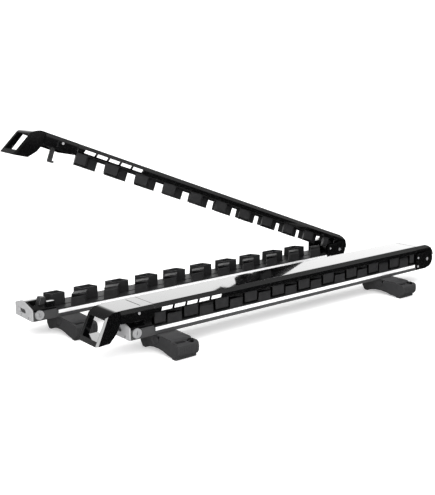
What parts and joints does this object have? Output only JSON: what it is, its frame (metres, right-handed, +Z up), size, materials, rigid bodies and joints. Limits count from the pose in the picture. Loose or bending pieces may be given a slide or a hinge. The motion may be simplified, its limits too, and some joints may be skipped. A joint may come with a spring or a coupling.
{
  "type": "roof ski rack",
  "caption": "Pair of roof bar ski clamps with hinged arms, meshing rubber teeth, a push latch with loop handle, and sliding feet that grip a crossbar.",
  "frame": {"origin": "centre of the bounding box, on the plane that the feet stand on", "axes": "+X along the bars from the latch end to the hinge end, +Y from the front bar to the rear bar, +Z up"},
  "size_m": [0.9194, 0.327, 0.3677],
  "materials": {
    "gloss_black": "deep gloss black, polished",
    "dark_plastic": "satin dark anodised or moulded surface",
    "foot_plastic": "fine moulded grain",
    "rubber": "moulded soft rubber",
    "silver_trim": "bright satin anodised",
    "light_plate": "light grey satin",
    "steel": "bright zinc or polished steel"
  },
  "bodies": {
    "bases": {"rear_base_rail": "dark_plastic", "rear_trim_strip": "silver_trim", "rear_end_plate": "light_plate", "rear_latch_body": "dark_plastic", "rear_latch_housing": "gloss_black", "rear_striker": "steel", "rear_hinge_bracket": "gloss_black", "rear_hinge_pin": "steel", "rear_lower_teeth_front": "rubber", "rear_lower_teeth_rear": "rubber", "front_base_rail": "dark_plastic", "front_trim_strip": "silver_trim", "front_end_plate": "light_plate", "front_latch_body": "dark_plastic", "front_latch_housing": "gloss_black", "front_striker": "steel", "front_hinge_bracket": "gloss_black", "front_hinge_pin": "steel", "front_lower_teeth_front": "rubber", "front_lower_teeth_rear": "rubber"},
    "rear_arm": {"rear_arm_beam": "gloss_black", "rear_arm_latch_cap": "gloss_black", "rear_arm_handle": "gloss_black", "rear_arm_hinge_cap": "gloss_black", "rear_upper_teeth_front": "rubber", "rear_upper_teeth_rear": "rubber", "rear_hook_pin": "steel"},
    "rear_lock": {"rear_lock_cylinder": "steel"},
    "rear_hook": {"rear_latch_hook": "steel"},
    "rear_button": {"rear_release_button": "dark_plastic"},
    "rear_left_foot": {"rear_left_saddle": "foot_plastic", "rear_left_t_bolt": "steel", "rear_left_rubber_pad": "rubber"},
    "rear_left_jaw": {"rear_left_clamp_jaw": "foot_plastic"},
    "rear_left_knob": {"rear_left_knob": "gloss_black"},
    "rear_right_foot": {"rear_right_saddle": "foot_plastic", "rear_right_t_bolt": "steel", "rear_right_rubber_pad": "rubber"},
    "rear_right_jaw": {"rear_right_clamp_jaw": "foot_plastic"},
    "rear_right_knob": {"rear_right_knob": "gloss_black"},
    "front_arm": {"front_arm_beam": "gloss_black", "front_arm_latch_cap": "gloss_black", "front_arm_handle": "gloss_black", "front_arm_hinge_cap": "gloss_black", "front_upper_teeth_front": "rubber", "front_upper_teeth_rear": "rubber", "front_hook_pin": "steel"},
    "front_lock": {"front_lock_cylinder": "steel"},
    "front_hook": {"front_latch_hook": "steel"},
    "front_button": {"front_release_button": "dark_plastic"},
    "front_left_foot": {"front_left_saddle": "foot_plastic", "front_left_t_bolt": "steel", "front_left_rubber_pad": "rubber"},
    "front_left_jaw": {"front_left_clamp_jaw": "foot_plastic"},
    "front_left_knob": {"front_left_knob": "gloss_black"},
    "front_right_foot": {"front_right_saddle": "foot_plastic", "front_right_t_bolt": "steel", "front_right_rubber_pad": "rubber"},
    "front_right_jaw": {"front_right_clamp_jaw": "foot_plastic"},
    "front_right_knob": {"front_right_knob": "gloss_black"}
  },
  "joints": [
    {"name": "rear_arm_swing", "type": "hinge", "parent": "bases", "child": "rear_arm", "pos_m": [0.36226, 0.1305, 0.0507], "axis": [0, 1, 0], "range_deg": [-20, 55]},
    {"name": "rear_lock_turn", "type": "hinge", "parent": "bases", "child": "rear_lock", "pos_m": [-0.42924, 0.0975, 0.0406], "axis": [0, 1, 0], "range_deg": [0, 90]},
    {"name": "rear_hook_turn", "type": "hinge", "parent": "rear_arm", "child": "rear_hook", "pos_m": [-0.38127, 0.1185, 0.34399], "axis": [0, 1, 0], "range_deg": [0, 8]},
    {"name": "rear_button_push", "type": "slide", "parent": "rear_arm", "child": "rear_button", "axis": [0.9397, 0, -0.342], "range_m": [0, 0.003], "stiffness_N_per_m": 900, "springref_m": -0.002},
    {"name": "rear_left_foot_slide", "type": "slide", "parent": "bases", "child": "rear_left_foot", "axis": [1, 0, 0], "range_m": [-0.015, 0.04]},
    {"name": "rear_left_jaw_slide", "type": "slide", "parent": "rear_left_foot", "child": "rear_left_jaw", "axis": [0, -1, 0], "range_m": [0, 0.01]},
    {"name": "rear_left_knob_turn", "type": "hinge", "parent": "rear_left_jaw", "child": "rear_left_knob", "pos_m": [-0.36074, 0.0415, 0.0288], "axis": [0, 0, 1], "range_deg": [0, 720]},
    {"name": "rear_right_foot_slide", "type": "slide", "parent": "bases", "child": "rear_right_foot", "axis": [1, 0, 0], "range_m": [-0.04, 0.04]},
    {"name": "rear_right_jaw_slide", "type": "slide", "parent": "rear_right_foot", "child": "rear_right_jaw", "axis": [0, -1, 0], "range_m": [0, 0.01]},
    {"name": "rear_right_knob_turn", "type": "hinge", "parent": "rear_right_jaw", "child": "rear_right_knob", "pos_m": [0.22426, 0.0415, 0.0288], "axis": [0, 0, 1], "range_deg": [0, 720]},
    {"name": "front_arm_swing", "type": "hinge", "parent": "bases", "child": "front_arm", "pos_m": [0.43926, -0.0645, 0.0507], "axis": [0, 1, 0], "range_deg": [0, 75]},
    {"name": "front_lock_turn", "type": "hinge", "parent": "bases", "child": "front_lock", "pos_m": [-0.35224, -0.0975, 0.0406], "axis": [0, 1, 0], "range_deg": [0, 90]},
    {"name": "front_hook_turn", "type": "hinge", "parent": "front_arm", "child": "front_hook", "pos_m": [-0.35974, -0.0765, 0.072], "axis": [0, 1, 0], "range_deg": [0, 8]},
    {"name": "front_button_push", "type": "slide", "parent": "front_arm", "child": "front_button", "axis": [1, 0, 0], "range_m": [0, 0.003], "stiffness_N_per_m": 900, "springref_m": -0.002},
    {"name": "front_left_foot_slide", "type": "slide", "parent": "bases", "child": "front_left_foot", "axis": [1, 0, 0], "range_m": [-0.015, 0.04]},
    {"name": "front_left_jaw_slide", "type": "slide", "parent": "front_left_foot", "child": "front_left_jaw", "axis": [0, -1, 0], "range_m": [0, 0.01]},
    {"name": "front_left_knob_turn", "type": "hinge", "parent": "front_left_jaw", "child": "front_left_knob", "pos_m": [-0.28374, -0.1535, 0.0288], "axis": [0, 0, 1], "range_deg": [0, 720]},
    {"name": "front_right_foot_slide", "type": "slide", "parent": "bases", "child": "front_right_foot", "axis": [1, 0, 0], "range_m": [-0.04, 0.04]},
    {"name": "front_right_jaw_slide", "type": "slide", "parent": "front_right_foot", "child": "front_right_jaw", "axis": [0, -1, 0], "range_m": [0, 0.01]},
    {"name": "front_right_knob_turn", "type": "hinge", "parent": "front_right_jaw", "child": "front_right_knob", "pos_m": [0.30126, -0.1535, 0.0288], "axis": [0, 0, 1], "range_deg": [0, 720]}
  ],
  "couplings": [
    {"joint": "rear_hook_turn", "follows": "rear_button_push", "rad_per_m": 46.496},
    {"joint": "rear_left_knob_turn", "follows": "rear_left_jaw_slide", "rad_per_m": 1256.5},
    {"joint": "rear_right_knob_turn", "follows": "rear_right_jaw_slide", "rad_per_m": 1256.5},
    {"joint": "front_hook_turn", "follows": "front_button_push", "rad_per_m": 46.496},
    {"joint": "front_left_knob_turn", "follows": "front_left_jaw_slide", "rad_per_m": 1256.5},
    {"joint": "front_right_knob_turn", "follows": "front_right_jaw_slide", "rad_per_m": 1256.5}
  ]
}
